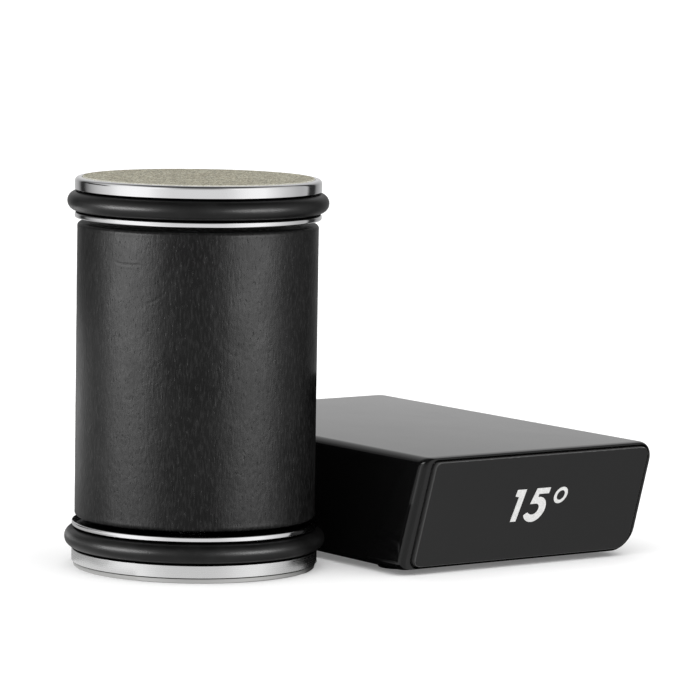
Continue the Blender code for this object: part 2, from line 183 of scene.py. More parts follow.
steelFinishes = {
    "polished": {
        "colour": (0.86, 0.86, 0.87), "roughness": (0.06, 0.12),
        "lines": 0.16 * mm, "lineDepth": 0.0022 * mm, "stain": 0.0,
    },
    "brushed": {
        "colour": (0.80, 0.80, 0.80), "roughness": (0.22, 0.32),
        "lines": 0.14 * mm, "lineDepth": 0.0050 * mm, "stain": 0.12,
    },
    "honing": {
        "colour": (0.60, 0.60, 0.59), "roughness": (0.40, 0.52),
        "lines": 0.10 * mm, "lineDepth": 0.0040 * mm, "stain": 0.12,
    },
}
steelCloud = {"size": (7 * mm, 7 * mm, 3 * mm), "share": 0.4, "span": (0.35, 0.65)}


# Fine circumferential tool lines: they vary along Z on a rim, and along the radius on a face
def makeTurnedSteel(kind):
    its = steelFinishes[kind]
    material, tree, shader = newMaterial(kind + "Steel", its["colour"], metallic=1.0)
    place = addNode(tree, "TexCoord").outputs["Object"]
    axes = addNode(tree, "SeparateXYZ", Vector=place).outputs
    flat = addNode(tree, "CombineXYZ", X=axes["X"], Y=axes["Y"]).outputs[0]
    radius = addNode(tree, "VectorMath", {"operation": "LENGTH"}, at0=flat).outputs["Value"]
    ring = addNode(tree, "CombineXYZ", X=radius, Z=axes["Z"]).outputs[0]
    scale = 1.0 / its["lines"]
    point = addNode(tree, "VectorMath", {"operation": "SCALE"}, at0=ring, Scale=scale).outputs[0]
    toolLines = noiseAt(tree, point, detail=3.0, rough=0.6)
    cloud = noiseValue(tree, steelCloud["size"], detail=3.0)
    linePart = compute(tree, "MULTIPLY", toolLines, 1 - steelCloud["share"])
    cloudPart = compute(tree, "MULTIPLY", cloud, steelCloud["share"])
    mixed = compute(tree, "ADD", linePart, cloudPart)
    roughen(shader, mixed, its["roughness"], steelCloud["span"])
    dull = tuple(c * (1 - its["stain"]) for c in its["colour"])
    tint(shader, toolLines, noiseMiddle, dull, its["colour"])
    bumped(shader, toolLines, its["lineDepth"])
    return material


rubberFinish = {
    "colour": (0.0012, 0.0012, 0.0012),
    "dust": (0.0030, 0.0030, 0.0030),
    "dustSpan": (0.5, 0.8),
    "specular": 0.26,
    "ringRoughness": (0.34, 0.42),
    "footRoughness": (0.55, 0.70),
    "grain": 0.35 * mm,
    "grainDepth": 0.020 * mm,
    "cloud": (6 * mm, 6 * mm, 3 * mm),
}


def makeRubber(name, roughness):
    its = rubberFinish
    material, tree, shader = newMaterial(name, its["colour"], specular=its["specular"])
    grain = noiseValue(tree, its["grain"], detail=3.0, rough=0.6)
    cloud = noiseValue(tree, its["cloud"], detail=3.0)
    tint(shader, cloud, its["dustSpan"], its["colour"], its["dust"])
    roughen(shader, cloud, roughness)
    bumped(shader, grain, its["grainDepth"])
    return material


gritFinish = {
    "dark": (0.070, 0.067, 0.050),
    "light": (0.560, 0.540, 0.425),
    "warm": (0.430, 0.395, 0.295),
    "bare": (0.780, 0.770, 0.710),
    "roughness": (0.45, 0.95),
    "specular": 0.35,
    "grain": 0.34 * mm,
    "grainDepth": 0.10 * mm,
    "cloud": 2.4 * mm,
    "cloudSpan": (0.35, 0.65),
    "edgeRoughness": 0.8,
    "edgeSpecular": 0.2,
    "edgeSpan": (0.40, 0.70),
}


def makeGrit():
    its = gritFinish
    material, tree, shader = newMaterial("diamondGrit", its["warm"], specular=its["specular"])
    point = objectPoint(tree, its["grain"])
    cells = addNode(tree, "TexVoronoi", Vector=point, Scale=1.0).outputs
    shade = addNode(tree, "SeparateXYZ", Vector=cells["Color"]).outputs
    cloud = noiseValue(tree, its["cloud"], detail=3.0, rough=0.6)
    pale = blendColour(tree, remap(tree, cloud, its["cloudSpan"]), its["light"], its["warm"])
    link(shader, "Base Color", blendColour(tree, shade["X"], its["dark"], pale))
    roughen(shader, shade["Y"], its["roughness"], (0.0, 1.0))
    bumped(shader, cells["Distance"], -its["grainDepth"])
    return material


# The disc's edge is bare and paler than its face
def makeGritEdge():
    its = gritFinish
    material, tree, shader = newMaterial(
        "gritEdge", its["bare"], its["edgeRoughness"], specular=its["edgeSpecular"]
    )
    grain = noiseValue(tree, its["grain"])
    tint(shader, grain, its["edgeSpan"], its["bare"], its["light"])
    return material


blockFinish = {
    "colour": (0.0030, 0.0030, 0.0031),
    "fleckColour": (0.012, 0.012, 0.012),
    "roughness": (0.12, 0.15),
    "specular": 0.34,
    "peel": 1.4 * mm,
    "peelDepth": 0.0010 * mm,
    "smear": (14 * mm, 22 * mm, 14 * mm),
    "fleck": 0.4 * mm,
    "fleckSpan": (0.74, 0.84),
}


def makeBlockBlack():
    its = blockFinish
    material, tree, shader = newMaterial("blockLacquer", its["colour"], specular=its["specular"])
    smear = noiseValue(tree, its["smear"], detail=3.0, rough=0.6)
    roughen(shader, smear, its["roughness"])
    fleck = noiseValue(tree, its["fleck"])
    tint(shader, fleck, its["fleckSpan"], its["colour"], its["fleckColour"])
    bumped(shader, noiseValue(tree, its["peel"]), its["peelDepth"])
    return material


plateFinish = {
    "colour": (0.0030, 0.0030, 0.0031),
    # worn is the rim's colour, a painted highlight on the bevel; the top one is a brighter painted
    # highlight along the top edge; chip is the paint chips
    "worn": (0.054, 0.054, 0.054),
    "topEdgeHighlight": (0.070, 0.070, 0.070),
    "chip": (0.42, 0.42, 0.415),
    "chipBand": (0.46 * mm, 0.30 * mm, 0.12 * mm),
    "chipSize": (1.9 * mm, 1.9 * mm, 0.9 * mm),
    "chipSpan": (0.50, 0.56),
    "roughness": (0.27, 0.33),
    "rimRoughness": 0.4,
    "specular": 0.35,
    "cloud": (11 * mm, 11 * mm, 9 * mm),
    "grain": 0.45 * mm,
    "grainDepth": 0.012 * mm,
}


def makePlateBlack():
    its = plateFinish
    material, tree, shader = newMaterial("plateBlack", its["colour"], specular=its["specular"])
    cloud = noiseValue(tree, its["cloud"], detail=3.0)
    roughen(shader, cloud, its["roughness"])
    bumped(shader, noiseValue(tree, its["grain"]), its["grainDepth"])
    return material


# The plate's rim is painted pale as a painted highlight on its bevel, paler still along its top edge, with
# a broken line of paint chips along that top edge
def makePlateRimHighlight(topEdge):
    its = plateFinish
    material, tree, shader = newMaterial(
        "plateRimHighlight", its["worn"], its["rimRoughness"], specular=its["specular"]
    )
    place = addNode(tree, "TexCoord").outputs["Object"]
    height = addNode(tree, "SeparateXYZ", Vector=place).outputs["Z"]
    low, middle, high = (topEdge - drop for drop in its["chipBand"])
    topHighlightBand = remap(tree, height, (low, middle))
    broken = remap(tree, noiseValue(tree, its["chipSize"], detail=3.0, rough=0.75), its["chipSpan"])
    chips = compute(tree, "MULTIPLY", remap(tree, height, (high, middle)), broken)
    # The painted highlight along the top edge, broken by the paint chips
    top = blendColour(tree, chips, its["topEdgeHighlight"], its["chip"])
    link(shader, "Base Color", blendColour(tree, topHighlightBand, its["worn"], top))
    return material


markFinish = {
    "worn": (0.63, 0.63, 0.62),
    "fresh": (0.78, 0.78, 0.77),
    "roughness": 0.5,
    "grain": 0.35 * mm,
    "grainSpan": (0.35, 0.65),
    "grainDepth": 0.010 * mm,
}


def makeMarkWhite():
    its = markFinish
    material, tree, shader = newMaterial("markWhite", its["fresh"], its["roughness"])
    grain = noiseValue(tree, its["grain"], detail=3.0, rough=0.65)
    tint(shader, grain, its["grainSpan"], its["worn"], its["fresh"])
    bumped(shader, grain, its["grainDepth"])
    return material


plainMetals = {
    "grooveShade": {"colour": (0.05, 0.05, 0.05), "roughness": 0.5, "grain": 1.5 * mm},
    "darkSteel": {"colour": (0.40, 0.40, 0.41), "roughness": 0.36, "grain": 2.5 * mm},
    "bearingSteel": {"colour": (0.70, 0.70, 0.71), "roughness": 0.20, "grain": 1.6 * mm},
    "cageBrass": {"colour": (0.60, 0.46, 0.20), "roughness": 0.38, "grain": 1.8 * mm},
    "magnetMetal": {"colour": (0.62, 0.61, 0.58), "roughness": 0.26, "grain": 3.0 * mm},
}
metalCloud = {"dull": 0.7, "dullSpan": (0.35, 0.7), "rougher": (-0.08, 0.10), "depth": 0.004 * mm}


def makePlainMetal(name):
    its = plainMetals[name]
    material, tree, shader = newMaterial(name, its["colour"], metallic=1.0)
    cloud = noiseValue(tree, its["grain"], detail=3.0, rough=0.6)
    dull = tuple(metalCloud["dull"] * c for c in its["colour"])
    tint(shader, cloud, metalCloud["dullSpan"], its["colour"], dull)
    roughen(shader, cloud, [its["roughness"] + change for change in metalCloud["rougher"]])
    bumped(shader, cloud, metalCloud["depth"])
    return material


# Shaping: a section starts as a flat outline, its corners are bevelled, and it is spun or drawn out

# Corners are (x, z) points of a flat outline; a reach is how far along its edges a corner's round goes
def cornerOutline(corners, reaches=(), segments=1):
    bm = bmesh.new()
    verts = [bm.verts.new((x, 0, z)) for x, z in corners]
    bm.faces.new(verts)
    for vert, reach in zip(verts, reaches):
        if reach:
            bmesh.ops.bevel(
                bm, geom=[vert], offset=reach, offset_type="OFFSET", segments=segments,
                profile=0.5, affect="VERTICES", material=-1,
            )
    return bm


# Points of an arc in the outline's plane, with its radii along X and Z and its angles in degrees
def arcPoints(centre, radii, start, end, count):
    turns = [math.radians(start + (end - start) * i / count) for i in range(count + 1)]
    return [(centre[0] + radii[0] * math.cos(t), centre[1] + radii[1] * math.sin(t)) for t in turns]


# Steps of an edge's round of radius 1: how far each is past one face, and how far short of the other
def quarterRound(steps):
    turns = [math.pi / 2 * k / steps for k in range(steps + 1)]
    return [(1 - math.cos(t), 1 - math.sin(t)) for t in turns]


# Leans upright shapes towards +X by a share of their height
def leanMatrix(share):
    return Matrix(((1, 0, share, 0), (0, 1, 0, 0), (0, 0, 1, 0), (0, 0, 0, 1)))


shaping = {"steps": 48, "merge": 0.001 * mm, "weld": 0.0005 * mm, "sharp": math.radians(32)}


# Spins the outline about Z, divides each step again, and brings the new points out to the true circle
def spinRound(bm, cuts):
    step, merge = 2 * math.pi / shaping["steps"], shaping["merge"]
    bmesh.ops.delete(bm, geom=bm.faces[:], context="FACES_ONLY")
    onAxis = [e for e in bm.edges if all(v.co.x < merge for v in e.verts)]
    bmesh.ops.delete(bm, geom=onAxis, context="EDGES")
    bmesh.ops.spin(
        bm, geom=bm.verts[:] + bm.edges[:], cent=(0, 0, 0), axis=(0, 0, 1),
        angle=2 * math.pi, steps=shaping["steps"], use_merge=True, use_duplicate=False,
    )
    bmesh.ops.remove_doubles(bm, verts=bm.verts[:], dist=merge)
    hoops = []
    for edge in bm.edges:
        a, b = (v.co for v in edge.verts)
        if abs(a.z - b.z) < merge and abs(a.xy.length - b.xy.length) < merge:
            hoops.append(edge)
    bmesh.ops.subdivide_edges(bm, edges=hoops, cuts=cuts, use_grid_fill=True)
    for vert in bm.verts:
        offset = math.atan2(vert.co.y, vert.co.x) % step - step / 2
        vert.co.xy *= math.cos(offset) / math.cos(step / 2)


def moved(bm, *offset):
    bmesh.ops.translate(bm, verts=bm.verts, vec=offset)
    return bm


def boxMesh(size, centre):
    bm = bmesh.new()
    bmesh.ops.create_cube(bm, size=1.0)
    bmesh.ops.scale(bm, verts=bm.verts, vec=size)
    return moved(bm, *centre)


# Adds an upright cylinder, placed by its middle
def addCylinder(bm, radius, height, segments, middle):
    made = bmesh.ops.create_cone(
        bm, cap_ends=True, segments=segments, radius1=radius, radius2=radius, depth=height
    )
    bmesh.ops.translate(bm, verts=made["verts"], vec=middle)


def smoothMesh(mesh):
    mesh.shade_smooth()
    mesh.set_sharp_from_angle(angle=shaping["sharp"])


def addObject(name, data):
    made = bpy.data.objects.new(name, data)
    scene.collection.objects.link(made)
    return made


def makeObject(name, bm, material=None):
    bmesh.ops.remove_doubles(bm, verts=bm.verts[:], dist=shaping["weld"])
    bmesh.ops.recalc_face_normals(bm, faces=bm.faces)
    mesh = bpy.data.meshes.new(name)
    bm.to_mesh(mesh)
    bm.free()
    smoothMesh(mesh)
    if material:
        mesh.materials.append(material)
    return addObject(name, mesh)


# The body that carries the piece, and the nodes that it stands for
def seat(piece, body, nodes=()):
    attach(piece, body)
    if nodes:
        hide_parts(*nodes)
    return piece


# Cuts the cutters out of the piece for good, and removes them
def cutAway(piece, cutters):
    for cutter in cutters:
        cut = piece.modifiers.new(cutter.name, "BOOLEAN")
        cut.operation = "DIFFERENCE"
        cut.solver = "EXACT"
        cut.object = cutter
    graph = bpy.context.evaluated_depsgraph_get()
    mesh = bpy.data.meshes.new_from_object(piece.evaluated_get(graph))
    piece.modifiers.clear()
    piece.data = mesh
    smoothMesh(mesh)
    for cutter in cutters:
        bpy.data.objects.remove(cutter, do_unlink=True)


# The barrel: turned wood under black paint, its grain raised in the mesh

barrelShape = {
    "edgeRound": 0.9 * mm,
    "edgeSegments": 6,
    "bearingSeat": 11.15 * mm,
    "bearingDepth": 7.6 * mm,
    "bore": 8.0 * mm,
    "rows": 228,
    "cuts": 7,
    "waveSize": (3.6 * mm, 6.5 * mm),
    "waveDepth": 0.060 * mm,
    "ridgeSize": (1.30 * mm, 2.1 * mm),
    "ridgeDepth": 0.018 * mm,
    "ridgeOffset": 7.3,
    "creaseDepth": 0.052 * mm,
    "creaseWidth": 0.24 * mm,
    "creaseLip": (0.35, 1.7),
    "creaseReach": 4,
    # Each crease runs through points of (degrees round the wall, height in millimetres)
    "creases": (
        ((194.5, 73.8), (196.5, 73.35), (199.5, 73.15), (204.0, 73.15), (208.5, 73.3)),
        ((213.0, 64.5), (216.0, 65.1), (218.5, 65.9), (221.5, 67.1)),
        ((228.0, 34.0), (230.5, 31.5), (232.0, 28.5)),
        ((262.0, 55.0), (264.5, 52.5), (265.5, 49.0)),
        ((20.0, 60.0), (27.0, 58.5), (33.0, 59.5)),
        ((95.0, 30.0), (99.0, 28.5), (108.0, 28.8)),
    ),
}


def distanceToRun(spot, first, second):
    run = second - first
    share = max(0.0, min(1.0, (spot - first).dot(run) / run.length_squared))
    return (spot - first - run * share).length


# Depth at a point of the unrolled wall: a groove with a low lip on each side
def creaseDepthAt(along, z, radius):
    its = barrelShape
    lip, lipPlace = its["creaseLip"]
    spot = Vector((along, z))
    deepest = 0.0
    for crease in its["creases"]:
        points = [Vector((math.radians(a) * radius, h * mm)) for a, h in crease]
        near = min(distanceToRun(spot, *ends) for ends in zip(points, points[1:]))
        reach = near / its["creaseWidth"]
        if reach < its["creaseReach"]:
            shape = math.exp(-reach * reach) - lip * math.exp(-((reach - lipPlace) ** 2))
            deepest = max(deepest, shape, key=abs)
    return deepest * its["creaseDepth"]


def grainDepthAt(x, y, z):
    its = barrelShape
    across, tall = its["waveSize"]
    wave = noise.noise(Vector((x / across, y / across, z / tall)))
    across, tall = its["ridgeSize"]
    ridge = 1 - abs(noise.noise(Vector((x / across + its["ridgeOffset"], y / across, z / tall))))
    return its["waveDepth"] * (0.5 + 0.5 * wave) + its["ridgeDepth"] * ridge * ridge


def buildBarrel(material):
    its = barrelShape
    low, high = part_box("barrel")
    radius, seatRadius, bore, edge = high.x, its["bearingSeat"], its["bore"], its["edgeRound"]
    lowSeat, highSeat = low.z + its["bearingDepth"], high.z - its["bearingDepth"]
    corners = [
        (seatRadius, low.z), (radius, low.z), (radius, high.z), (seatRadius, high.z),
        (seatRadius, highSeat), (bore, highSeat), (bore, lowSeat), (seatRadius, lowSeat),
    ]
    bm = cornerOutline(corners, [0, edge, edge, 0, 0, 0, 0, 0], its["edgeSegments"])
    outside = [e for e in bm.edges if min(v.co.x for v in e.verts) > radius - shaping["merge"]]
    wall = [e for e in outside if e.calc_length() > edge]
    bmesh.ops.subdivide_edges(bm, edges=wall, cuts=its["rows"])
    spinRound(bm, its["cuts"])
    for vert in bm.verts:
        x, y, z = vert.co
        if vert.co.xy.length < radius - edge - shaping["merge"]:
            continue
        fade = min(1.0, min(z - low.z, high.z - z) / (2 * edge))
        turn = math.atan2(y, x) % (2 * math.pi)
        depth = grainDepthAt(x, y, z) + creaseDepthAt(turn * radius, z, radius)
        vert.co.xy *= 1 - fade * depth / radius
    return seat(makeObject("barrelWood", bm, material), "barrel", ["barrel"])


# The wheels, with a round groove each for its rubber ring

wheelShape = {
    "radius": 29.0 * mm,
    "band": 2.9 * mm,
    "flange": 1.2 * mm,
    "ringSection": 4.9 * mm,
    "ringStandOut": 1.75 * mm,
    "ringRound": 4.6 * mm,
    "grooveGap": 0.25 * mm,
    "boss": 5.6 * mm,
    "runningGap": 1.1 * mm,
    "socket": 4.0 * mm,
    "recess": 1.6 * mm,
    "socketFloor": 3.6 * mm,
    "screwHead": 5.0 * mm,
    "screwHole": 2.75 * mm,
    "rimRound": 0.92 * mm,
    "edgeRound": 0.14 * mm,
    "flangeRound": 0.36 * mm,
    "discGap": 0.15 * mm,
    "magnets": 3,
    "pocket": 4.2 * mm,
    "pocketDepth": 3.3 * mm,
    "pocketCircle": 13.0 * mm,
    "pocketSegments": 40,
    "grooveSteps": 28,
    "ringSteps": 32,
    "roundSegments": 5,
    "cuts": 5,
    "ringCuts": 4,
}


def magnetPocketCutter(recess):
    its = wheelShape
    bm = bmesh.new()
    for i in range(its["magnets"]):
        turn = 2 * math.pi * i / its["magnets"]
        place = (its["pocketCircle"] * math.cos(turn), its["pocketCircle"] * math.sin(turn), recess)
        addCylinder(bm, its["pocket"], 2 * its["pocketDepth"], its["pocketSegments"], place)
    return bm


def buildWheel(side, material, discRoom, rimRound, place):
    its = wheelShape
    radius, recess, edge = its["radius"], its["recess"], its["edgeRound"]
    groove = its["ringSection"] / 2 + its["grooveGap"]
    middle = its["band"] + groove
    width = middle + groove + its["flange"]
    bossEnd = width + its["runningGap"]
    ringCircle = radius + its["ringStandOut"] - its["ringSection"] / 2
    floor = recess + its["socketFloor"]
    cone = recess + its["screwHead"] - its["screwHole"]
    arc = arcPoints((ringCircle, middle), (groove, groove), 270, 90, its["grooveSteps"])
    corners = [
        (discRoom, 0), (radius, 0), (radius, its["band"]), *arc,
        (radius, width - its["flange"]), (radius, width), (its["boss"], width),
        (its["boss"], bossEnd), (its["socket"], bossEnd), (its["socket"], floor),
        (its["screwHole"], floor), (its["screwHole"], cone), (its["screwHead"], recess), (discRoom, recess),
    ]
    reaches = [edge, rimRound, edge] + [0] * len(arc) + [its["flangeRound"]] * 2 + [0] * 8
    bm = cornerOutline(corners, reaches, its["roundSegments"])
    spinRound(bm, its["cuts"])
    for face in bm.faces:
        spot = face.calc_center_median()
        fromRing = math.hypot(spot.xy.length - ringCircle, spot.z - middle)
        if abs(fromRing - groove) < edge / 2:
            face.material_index = 2  # the groove
        elif spot.z > middle + groove / 2:
            face.material_index = 1  # the flange and all beyond it
    pockets = magnetPocketCutter(recess)
    bmesh.ops.transform(bm, matrix=place, verts=bm.verts)
    bmesh.ops.transform(pockets, matrix=place, verts=pockets.verts)
    wheel = makeObject(side + "WheelTurned", bm, material)
    wheel.data.materials.append(finishes["polished"])
    wheel.data.materials.append(finishes["grooveShade"])
    cutAway(wheel, [makeObject(side + "Pockets", pockets)])
    return seat(wheel, "wheels", [side + "_wheel"])


def buildRing(side, material, place):
    its = wheelShape
    section = its["ringRound"] / 2
    middle = its["band"] + its["ringSection"] / 2 + its["grooveGap"]
    ringCircle = its["radius"] + its["ringStandOut"] - section
    last = its["ringSteps"] - 1
    arc = arcPoints((ringCircle, middle), (section, section), 0, 360 * last / its["ringSteps"], last)
    bm = cornerOutline(arc)
    spinRound(bm, its["ringCuts"])
    bmesh.ops.transform(bm, matrix=place, verts=bm.verts)
    ring = makeObject(side + "RingRound", bm, material)
    return seat(ring, "wheels", [side + "_rubber_ring"])


gritDiscShape = {
    "edge": 0.12 * mm,
    "edgeSegments": 3,
    "edgeFrom": 0.80,
    "rows": 84,
    "cuts": 5,
    "relief": 0.045 * mm,
    "grain": 0.45 * mm,
}


# The grit stands in the mesh as well, always below the disc's highest plane
def buildGritDisc(material):
    its = gritDiscShape
    low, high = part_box("diamond_disc")
    corners = [(0, low.z), (high.x, low.z), (high.x, high.z), (0, high.z)]
    bm = cornerOutline(corners, [0, 0, its["edge"], 0], its["edgeSegments"])
    top = [e for e in bm.edges if min(v.co.z for v in e.verts) > high.z - shaping["merge"]]
    bmesh.ops.subdivide_edges(bm, edges=top, cuts=its["rows"])
    spinRound(bm, its["cuts"])
    bm.normal_update()
    for face in bm.faces:
        if abs(face.normal.z) < its["edgeFrom"]:
            face.material_index = 1
    for vert in bm.verts:
        if vert.co.z > high.z - its["edge"]:
            grain = noise.noise(vert.co / its["grain"])
            vert.co.z -= its["relief"] * (0.5 - 0.5 * grain)
    disc = makeObject("gritDiscFace", bm, material)
    disc.data.materials.append(finishes["gritEdge"])
    return seat(disc, "wheels", ["diamond_disc"])


honingDiscShape = {
    "plate": 1.05 * mm,
    "spigot": 20.0 * mm,
    "inset": 0.25 * mm,
    "edge": 0.40 * mm,
    "upperEdge": 0.06 * mm,
    "edgeSegments": 4,
    "cuts": 5,
    "flatCentre": 9.0 * mm,
    "pitch": 0.42 * mm,
    "grooveDepth": 0.07 * mm,
}


# Fine rings round a flat centre on the face that it stands on
def buildHoningDisc(material):
    its = honingDiscShape
    low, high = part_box("honing_disc")
    radius = high.x - its["inset"]
    rings = []
    reach = its["flatCentre"]
    while reach < radius - 2 * its["edge"]:
        rings += [(reach, low.z), (reach + its["pitch"] / 2, low.z + its["grooveDepth"])]
        reach += its["pitch"]
    plateTop, spigot = low.z + its["plate"], its["spigot"]
    corners = [
        (0, low.z), *rings, (reach, low.z), (radius, low.z), (radius, plateTop),
        (spigot, plateTop), (spigot, high.z), (0, high.z),
    ]
    reaches = [0] * (len(rings) + 2) + [its["edge"], its["upperEdge"], 0, its["upperEdge"], 0]
    bm = cornerOutline(corners, reaches, its["edgeSegments"])
    spinRound(bm, its["cuts"])
    return seat(makeObject("honingDiscFace", bm, material), "wheels", ["honing_disc"])


# The angle block: a leaning case, end plates inset in it, and round rubber feet

blockShape = {
    "lean": math.tan(math.radians(15)),
    "cornerRadii": (1.8 * mm, 7.0 * mm, 3.5 * mm, 2.9 * mm),
    "endSide": 1.8 * mm,
    "endLevel": 0.3 * mm,
    "endDepth": 2.4 * mm,
    "plateSide": 2.7 * mm,
    "plateLevel": 0.9 * mm,
    "plateRadii": (1.7 * mm, 5.0 * mm, 1.7 * mm, 1.7 * mm),
    "plateStandOut": 0.8 * mm,
    "plateDepth": 2.4 * mm,
    "plateGap": 0.4 * mm,
    "plateEdge": 0.32 * mm,
    "plateShift": (0.46 * mm, -0.22 * mm),
    "plateTrim": 0.32 * mm,
    "plateRimFrom": 0.90,
    "rebateShift": (0.40 * mm, -0.16 * mm),
    "plateSetBack": 0.08 * mm,
    "seatGap": 0.3 * mm,
    "mouthRound": 0.15 * mm,
    "skin": 1.6 * mm,
    "floor": 3.0 * mm,
    "cavityRadius": 2.0 * mm,
    "magnet": (3.0 * mm, 24.0 * mm, 10.0 * mm),
    "magnetPitch": 32.0 * mm,
    "keeper": (1.2 * mm, 94.0 * mm, 12.0 * mm),
    "overrun": 2.0 * mm,
    "cornerSegments": 12,
    "endSegments": 8,
    "plateSegments": 4,
    "mouthSegments": 3,
}

caseLow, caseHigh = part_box("block_case")
blockHeight = caseHigh.z - caseLow.z
blockLength = caseHigh.y - caseLow.y
# The round corners stop short of the sharp ones, so the case's width is taken from the frame's mount points
mounts = {m["name"]: m["pos_m"] for m in frame["record"]["mounts"]}
blockWidth = mounts["knife_face"][0] - mounts["second_knife_face"][0]
blockX = mounts["second_knife_face"][0] - (mounts["second_knife_face"][2] - caseLow.z) * blockShape["lean"]


# The block's end outline from its sharp lower left corner, drawn in and with round corners
def leaningOutline(sideInset, levelInset, radii):
    lean = blockShape["lean"]
    low, high = levelInset, blockHeight - levelInset
    corners = [
        (sideInset + low * lean, low), (blockWidth - sideInset + low * lean, low),
        (blockWidth - sideInset + high * lean, high), (sideInset + high * lean, high),
    ]
    narrow = math.tan((math.pi / 2 - math.atan(lean)) / 2)
    wide = math.tan((math.pi / 2 + math.atan(lean)) / 2)
    reaches = [radius / half for radius, half in zip(radii, (narrow, wide) * 2)]
    return cornerOutline(corners, reaches, blockShape["cornerSegments"])


# Draws the outline's face out along Y, through (y, side inset, level inset) stations, inside the lean
def drawOut(bm, stations):
    lean = leanMatrix(blockShape["lean"])
    middle = Matrix.Translation((blockWidth / 2, 0, blockHeight / 2))
    region = bm.verts[:] + bm.edges[:] + bm.faces[:]
    startY, side, level = stations[0]
    moved(bm, 0, startY, 0)
    for y, newSide, newLevel in stations[1:]:
        region = bmesh.ops.extrude_face_region(bm, geom=region)["geom"]
        verts = [g for g in region if isinstance(g, bmesh.types.BMVert)]
        wide = (blockWidth - 2 * newSide) / (blockWidth - 2 * side)
        tall = (blockHeight - 2 * newLevel) / (blockHeight - 2 * level)
        squeeze = middle @ Matrix.Diagonal((wide, 1, tall, 1)) @ middle.inverted()
        bmesh.ops.transform(bm, matrix=lean @ squeeze @ lean.inverted(), verts=verts)
        bmesh.ops.translate(bm, verts=verts, vec=(0, y - startY, 0))
        startY, side, level = y, newSide, newLevel
    return bm


def toBlock(bm):
    return moved(bm, blockX, caseLow.y, caseLow.z)


# The same stations, counted from the block's far end
def fromFarEnd(stations):
    return [(blockLength - y, side, level) for y, side, level in stations]


def endStations():
    its = blockShape
    near = [
        (its["endDepth"] * inward, its["endSide"] * left, its["endLevel"] * left)
        for inward, left in quarterRound(its["endSegments"])
    ]
    return near + fromFarEnd(reversed(near))


# Room for an end plate, with a rounded mouth
def rebateCutter(name, atFront):
    its = blockShape
    gap, mouth = its["plateGap"], its["mouthRound"]
    side, level = its["plateSide"] - gap, its["plateLevel"] - gap
    stations = [(its["plateDepth"] + its["seatGap"], side, level)]
    for outward, left in quarterRound(its["mouthSegments"]):
        stations.append((mouth * left, side - mouth * outward, level - mouth * outward))
    stations.append((-its["overrun"], side - mouth, level - mouth))
    if not atFront:
        stations = fromFarEnd(stations)
    bm = drawOut(leaningOutline(side, level, [r + gap for r in its["plateRadii"]]), stations)
    shiftX, shiftZ = its["rebateShift"]
    moved(bm, shiftX, 0, shiftZ)
    return makeObject(name, toBlock(bm))


def boxCutter(name, size, centre, lean):
    bm = boxMesh(size, centre)
    bmesh.ops.transform(bm, matrix=lean, verts=bm.verts)
    return makeObject(name, bm)


# Pockets for the three magnets and a slot for the keeper bar, open to the inside
def sideCutters(side, faceX, inward):
    its = blockShape
    gap = its["seatGap"]
    half = blockHeight / 2
    middle = (faceX + half * its["lean"], caseLow.y + blockLength / 2, caseLow.z + half)
    lean = Matrix.Translation(middle) @ Matrix.Rotation(math.atan(its["lean"]), 4, "Y")
    thick, long, tall = its["magnet"]
    pocket = (thick + 2 * gap, long + 2 * gap, tall + 2 * gap)
    cutters = []
    for i in (-1, 0, 1):
        centre = (inward * (its["skin"] + pocket[0] / 2), i * its["magnetPitch"], 0)
        cutters.append(boxCutter(f"{side}Pocket{i + 2}", pocket, centre, lean))
    barThick, barLong, barTall = its["keeper"]
    slot = (barThick + gap + its["overrun"], barLong + 2 * gap, barTall + 2 * gap)
    centre = (inward * (its["skin"] + thick + gap + slot[0] / 2), 0, 0)
    cutters.append(boxCutter(side + "Slot", slot, centre, lean))
    return cutters


footShape = {
    "radius": 5.0 * mm,
    "edge": 0.35 * mm,
    "edgeSegments": 4,
    "cuts": 1,
    "recess": 0.6 * mm,
    "room": 5.3 * mm,
    "roomSegments": 64,
}
footNodes = ("near_left_foot", "far_left_foot", "near_right_foot", "far_right_foot")


def footCutter(node):
    its = footShape
    low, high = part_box(node)
    middle = (low + high) / 2
    middle.z = caseLow.z
    bm = bmesh.new()
    addCylinder(bm, its["room"], 2 * its["recess"], its["roomSegments"], middle)
    return makeObject(node + "Recess", bm)


def buildFoot(node, material):
    its = footShape
    low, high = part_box(node)
    corners = [(0, low.z), (its["radius"], low.z), (its["radius"], high.z), (0, high.z)]
    bm = cornerOutline(corners, [0, its["edge"], 0, 0], its["edgeSegments"])
    spinRound(bm, its["cuts"])
    middle = (low + high) / 2
    moved(bm, middle.x, middle.y, 0)
    name = "".join(word.capitalize() for word in node.split("_"))
    return seat(makeObject("rubber" + name, bm, material), "angle_block", [node])


def buildCase(material):
    its = blockShape
    case = makeObject("caseShell", toBlock(drawOut(
        leaningOutline(its["endSide"], its["endLevel"], its["cornerRadii"]), endStations()
    )), material)
    wall = its["skin"] + its["magnet"][0] + its["keeper"][0] + 2 * its["seatGap"]
    wall /= math.cos(math.atan(its["lean"]))
    past = its["overrun"]
    cavity = drawOut(
        leaningOutline(wall, its["floor"], (its["cavityRadius"],) * 4),
        [(-past, wall, its["floor"]), (blockLength + past, wall, its["floor"])],
    )
    cutters = [
        makeObject("caseCavity", toBlock(cavity)),
        rebateCutter("frontRebate", True),
        rebateCutter("rearRebate", False),
        *sideCutters("left", blockX, 1),
        *sideCutters("right", blockX + blockWidth, -1),
        *[footCutter(node) for node in footNodes],
    ]
    cutAway(case, cutters)
    return seat(case, "angle_block", ["block_case"])


